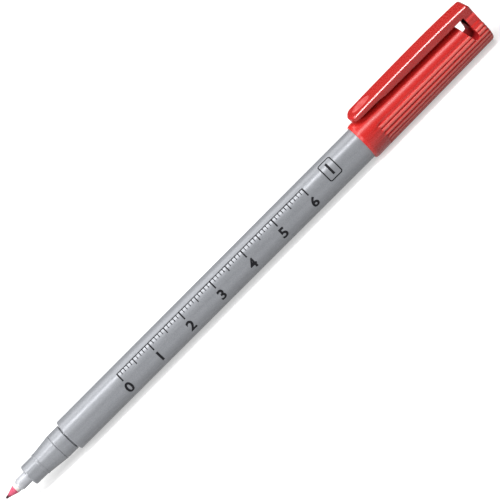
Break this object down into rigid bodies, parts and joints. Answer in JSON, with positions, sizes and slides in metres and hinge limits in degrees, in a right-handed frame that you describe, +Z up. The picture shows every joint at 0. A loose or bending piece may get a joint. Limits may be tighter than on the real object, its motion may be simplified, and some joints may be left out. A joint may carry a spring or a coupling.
{
  "type": "non-permanent marker",
  "caption": "Fine-point fibre-tip marker lying flat, its ribbed cap posted on the rear end. The cap pulls off along the barrel and its pocket clip flexes open.",
  "frame": {"origin": "on the surface the marker lies on, under the middle of its posted length and of its width", "axes": "+X along the marker from the nib to the cap's closed end, +Z up through the pocket clip"},
  "size_m": [0.155, 0.01, 0.0125],
  "materials": {
    "barrel_grey": "satin moulded polypropylene with a fine metallic fleck",
    "holder_grey": "smooth moulded pale grey plastic",
    "sleeve_white": "matt white acetal",
    "nib_fibre": "bonded fibre soaked in red ink",
    "cap_red": "glossy moulded red polypropylene",
    "liner_natural": "unpigmented milky polypropylene",
    "reservoir_fibre": "ink-soaked polyester fibre",
    "reservoir_film": "thin wrapping film",
    "print_black": "thin black printing ink"
  },
  "bodies": {
    "marker": {"barrel": "barrel_grey", "front_section": "barrel_grey", "nib_holder": "holder_grey", "nib_sleeve": "sleeve_white", "nib": "nib_fibre", "ink_reservoir": "reservoir_fibre", "reservoir_wrap": "reservoir_film", "end_plug": "cap_red"},
    "cap": {"cap": "cap_red", "inner_cap": "liner_natural"},
    "clip": {"cap_clip": "cap_red"}
  },
  "joints": [
    {"name": "cap_pull", "type": "slide", "parent": "marker", "child": "cap", "axis": [1, 0, 0], "range_m": [0, 0.025]},
    {"name": "clip_flex", "type": "hinge", "parent": "cap", "child": "clip", "pos_m": [0.07475, 0, 0.01227], "axis": [0, 1, 0], "range_deg": [0, 4], "stiffness_Nm_per_rad": 2.5}
  ]
}
